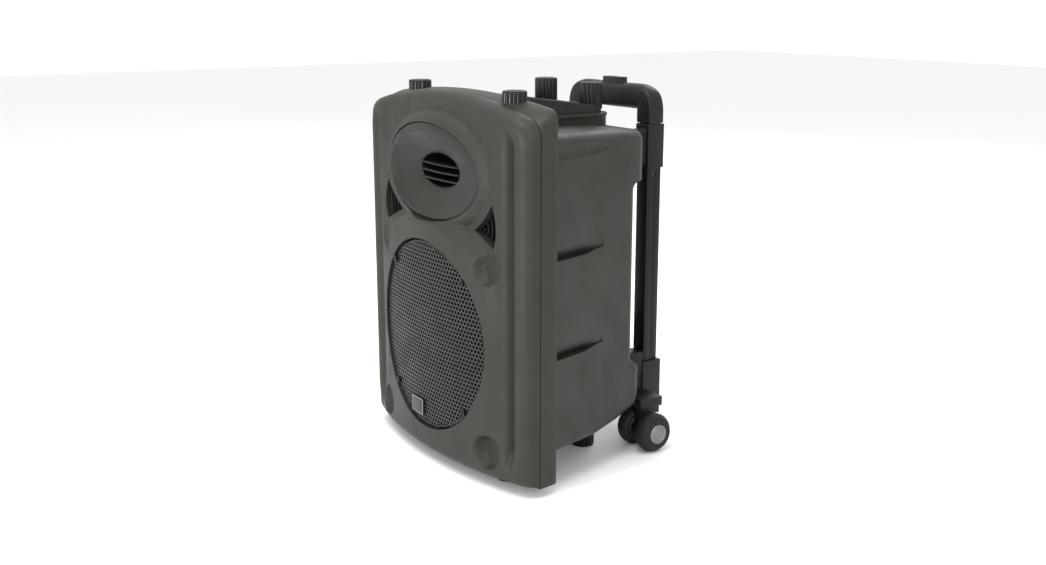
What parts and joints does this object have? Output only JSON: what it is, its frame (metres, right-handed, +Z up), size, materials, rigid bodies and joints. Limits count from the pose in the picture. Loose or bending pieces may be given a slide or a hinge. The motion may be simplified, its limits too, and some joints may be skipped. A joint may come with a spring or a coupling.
{
  "type": "portable party speaker",
  "caption": "Portable two-way party speaker in a bowed moulded cabinet, with an elliptical horn, round grilled woofer, rear amplifier panel and telescopic trolley handle on twin wheels.",
  "frame": {"origin": "on the floor, under the middle of the footprint", "axes": "+X to the right for a person facing the front, +Y to the rear, +Z up; the front faces -Y"},
  "size_m": [0.424, 0.358, 0.5405],
  "materials": {
    "cabinet_shell": "fine moulded texture",
    "foam_seal": "soft matt",
    "driver_metal": "black crackle",
    "grille_steel": "matt powder coat",
    "badge_plate": "brushed",
    "black_screw": "black zinc",
    "magnet_steel": "plated",
    "paper_cone": "pressed pulp",
    "soft_rubber": "matt",
    "copper_coil": "enamelled wire",
    "black_plastic": "fine grain",
    "foot_rubber": "satin",
    "black_metal": "satin",
    "satin_tube": "black anodised",
    "plated_steel": "zinc plated",
    "grip_plastic": "soft touch",
    "silver_cap": "satin",
    "panel_metal": "fine powder coat",
    "gloss_panel": "polished",
    "screen_glass": "display window",
    "circuit_board": "solder mask",
    "battery_case": "plain",
    "wheel_tyre": "matt",
    "wheel_hub": "moulded",
    "knob_plastic": "moulded"
  },
  "bodies": {
    "cabinet": {"amp_panel": "panel_metal", "amplifier_board": "circuit_board", "badge_plate": "badge_plate", "baffle_screws": "black_screw", "base_feet": "foot_rubber", "battery": "battery_case", "bracket_screws": "black_screw", "compression_driver": "driver_metal", "front_baffle": "cabinet_shell", "grille_screws": "black_screw", "horn_waveguide": "cabinet_shell", "hub_caps": "silver_cap", "lower_sockets": "black_plastic", "mains_inlet": "black_plastic", "mains_transformer": "driver_metal", "outer_tubes": "black_metal", "panel_screws": "black_screw", "player_panel": "gloss_panel", "player_screen": "screen_glass", "port_louvres": "cabinet_shell", "power_switch_frame": "black_plastic", "rear_cabinet": "cabinet_shell", "seam_gasket": "foam_seal", "signal_jacks": "black_plastic", "stacking_feet": "foot_rubber", "top_tray": "black_plastic", "upper_clamps": "black_plastic", "wheel_axles": "plated_steel", "woofer_basket": "driver_metal", "woofer_grille": "grille_steel", "woofer_magnet": "magnet_steel", "woofer_screws": "black_screw", "woofer_surround": "soft_rubber"},
    "trolley": {"inner_tubes": "satin_tube", "tube_end_plugs": "black_plastic", "trolley_grip": "grip_plastic"},
    "release": {"release_button": "grip_plastic", "release_yoke": "plated_steel", "button_spring": "plated_steel"},
    "pin_right": {"lock_pin_right": "plated_steel"},
    "pin_left": {"lock_pin_left": "plated_steel"},
    "cone": {"woofer_cone": "paper_cone", "woofer_dust_cap": "paper_cone", "woofer_voice_coil": "copper_coil"},
    "rocker": {"power_rocker": "black_plastic"},
    "microphone_control": {"microphone_knob": "knob_plastic"},
    "music_control": {"music_knob": "knob_plastic"},
    "bass_control": {"bass_knob": "knob_plastic"},
    "treble_control": {"treble_knob": "knob_plastic"},
    "previous_button": {"previous_key": "knob_plastic"},
    "play_button": {"play_key": "knob_plastic"},
    "next_button": {"next_key": "knob_plastic"},
    "wheel_right_inner": {"tyre_right_inner": "wheel_tyre", "hub_right_inner": "wheel_hub"},
    "wheel_right_outer": {"tyre_right_outer": "wheel_tyre", "hub_right_outer": "wheel_hub"},
    "wheel_left_inner": {"tyre_left_inner": "wheel_tyre", "hub_left_inner": "wheel_hub"},
    "wheel_left_outer": {"tyre_left_outer": "wheel_tyre", "hub_left_outer": "wheel_hub"}
  },
  "joints": [
    {"name": "trolley_slide", "type": "slide", "parent": "cabinet", "child": "trolley", "axis": [0, 0, 1], "range_m": [0, 0.327]},
    {"name": "release_press", "type": "slide", "parent": "trolley", "child": "release", "axis": [0, 0, -1], "range_m": [0, 0.004], "stiffness_N_per_m": 900, "springref_m": -0.004, "deforming": ["button_spring"]},
    {"name": "pin_right_slide", "type": "slide", "parent": "trolley", "child": "pin_right", "axis": [-1, 0, 0], "range_m": [0, 0.0025]},
    {"name": "pin_left_slide", "type": "slide", "parent": "trolley", "child": "pin_left", "axis": [1, 0, 0], "range_m": [0, 0.0025]},
    {"name": "cone_travel", "type": "slide", "parent": "cabinet", "child": "cone", "axis": [0, -1, 0], "range_m": [-0.004, 0.004], "stiffness_N_per_m": 3500},
    {"name": "power_rock", "type": "hinge", "parent": "cabinet", "child": "rocker", "pos_m": [-0.036, 0.088, 0.19], "axis": [1, 0, 0], "range_deg": [0, 14]},
    {"name": "microphone_turn", "type": "hinge", "parent": "cabinet", "child": "microphone_control", "pos_m": [-0.0405, 0.087, 0.365], "axis": [0, 1, 0], "range_deg": [-140, 140]},
    {"name": "music_turn", "type": "hinge", "parent": "cabinet", "child": "music_control", "pos_m": [-0.0135, 0.087, 0.365], "axis": [0, 1, 0], "range_deg": [-140, 140]},
    {"name": "bass_turn", "type": "hinge", "parent": "cabinet", "child": "bass_control", "pos_m": [0.0135, 0.087, 0.365], "axis": [0, 1, 0], "range_deg": [-140, 140]},
    {"name": "treble_turn", "type": "hinge", "parent": "cabinet", "child": "treble_control", "pos_m": [0.0405, 0.087, 0.365], "axis": [0, 1, 0], "range_deg": [-140, 140]},
    {"name": "previous_press", "type": "slide", "parent": "cabinet", "child": "previous_button", "axis": [0, -1, 0], "range_m": [0, 0.001], "stiffness_N_per_m": 600, "springref_m": -0.0005},
    {"name": "play_press", "type": "slide", "parent": "cabinet", "child": "play_button", "axis": [0, -1, 0], "range_m": [0, 0.001], "stiffness_N_per_m": 600, "springref_m": -0.0005},
    {"name": "next_press", "type": "slide", "parent": "cabinet", "child": "next_button", "axis": [0, -1, 0], "range_m": [0, 0.001], "stiffness_N_per_m": 600, "springref_m": -0.0005},
    {"name": "wheel_right_inner_spin", "type": "hinge", "parent": "cabinet", "child": "wheel_right_inner", "pos_m": [0.115, 0.118, 0.029], "axis": [1, 0, 0], "continuous": true},
    {"name": "wheel_right_outer_spin", "type": "hinge", "parent": "cabinet", "child": "wheel_right_outer", "pos_m": [0.157, 0.118, 0.029], "axis": [1, 0, 0], "continuous": true},
    {"name": "wheel_left_inner_spin", "type": "hinge", "parent": "cabinet", "child": "wheel_left_inner", "pos_m": [-0.115, 0.118, 0.029], "axis": [1, 0, 0], "continuous": true},
    {"name": "wheel_left_outer_spin", "type": "hinge", "parent": "cabinet", "child": "wheel_left_outer", "pos_m": [-0.157, 0.118, 0.029], "axis": [1, 0, 0], "continuous": true}
  ],
  "couplings": [
    {"joint": "pin_right_slide", "follows": "release_press", "ratio": 0.625},
    {"joint": "pin_left_slide", "follows": "release_press", "ratio": 0.625}
  ]
}
